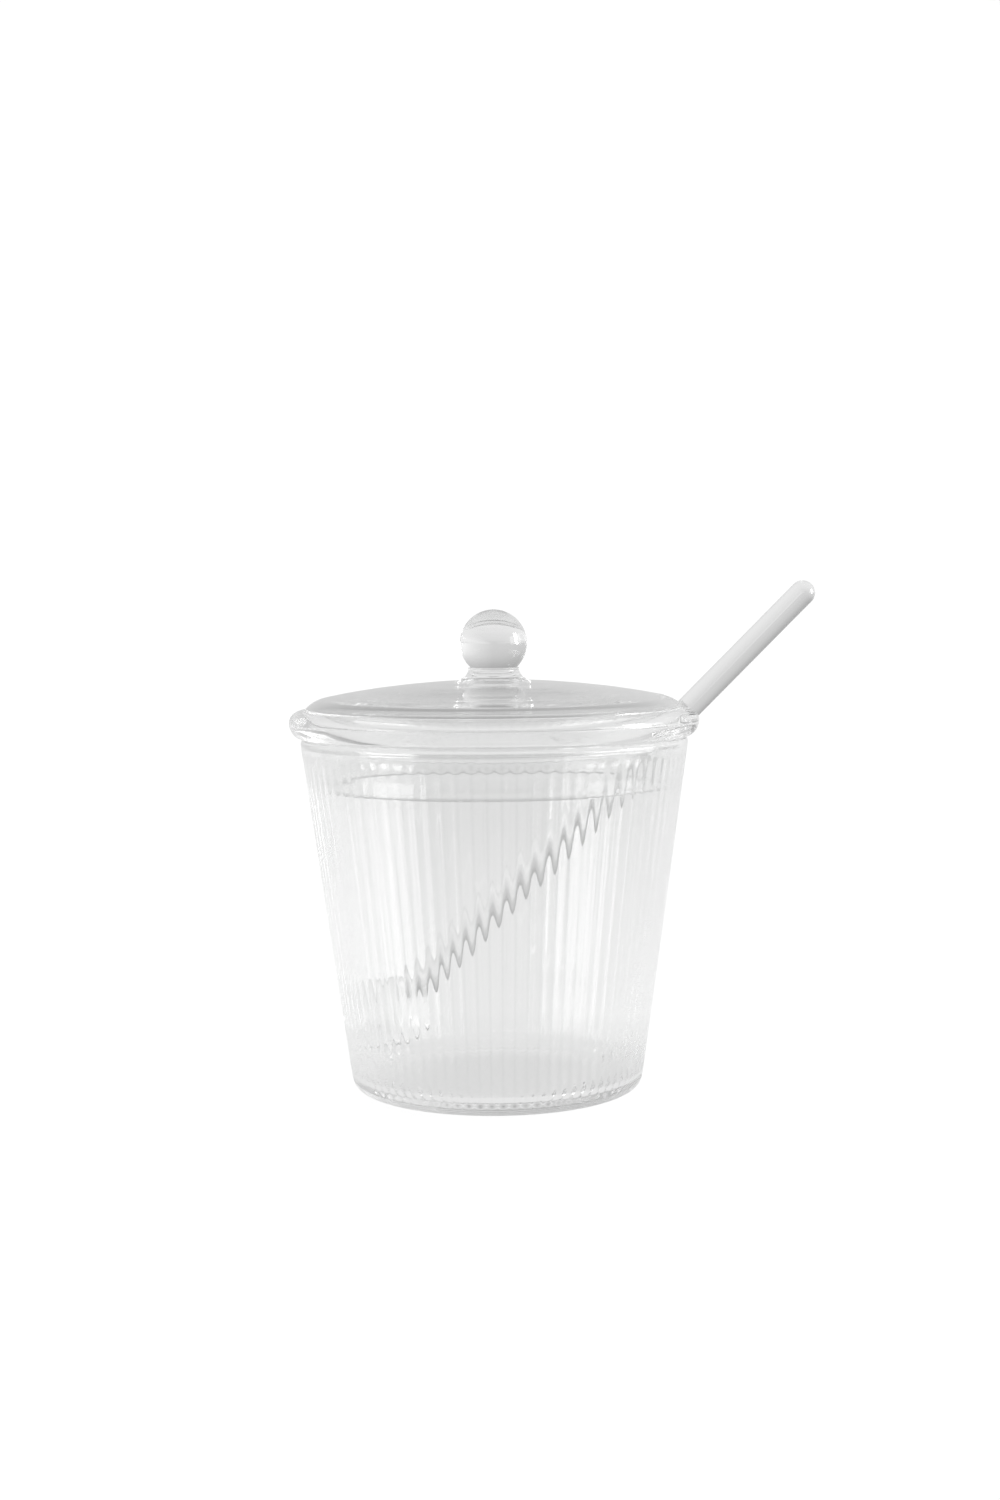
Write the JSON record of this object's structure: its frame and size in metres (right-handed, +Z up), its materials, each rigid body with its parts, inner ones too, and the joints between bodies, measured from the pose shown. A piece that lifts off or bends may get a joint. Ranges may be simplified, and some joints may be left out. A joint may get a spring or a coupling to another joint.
{
  "type": "sugar bowl",
  "caption": "Tapered, vertically ribbed clear glass sugar bowl with a lift-off glass lid, ball knob, and a clear glass spoon leaning out through a notch in the lid.",
  "frame": {"origin": "centre of the bowl's foot, on the surface it stands on", "axes": "+Z up along the bowl's axis, +X towards the side where the spoon leans out, +Y away from the viewer of the picture"},
  "size_m": [0.1288, 0.1, 0.1236],
  "materials": {
    "bowl_glass": "clear, fire polished, ribbed",
    "lid_glass": "clear, fire polished",
    "knob_glass": "clear, fire polished, solid",
    "spoon_glass": "clear, fire polished, solid"
  },
  "bodies": {
    "bowl": {"bowl": "bowl_glass"},
    "lid": {"lid": "lid_glass", "lid_knob": "knob_glass"},
    "spoon": {"spoon": "spoon_glass"}
  },
  "joints": [
    {"name": "lid_lift", "type": "slide", "parent": "bowl", "child": "lid", "axis": [0, 0, 1], "range_m": [0, 0.06]},
    {"name": "spoon_draw", "type": "slide", "parent": "bowl", "child": "spoon", "axis": [0.7071, 0, 0.7071], "range_m": [0, 0.06]}
  ]
}
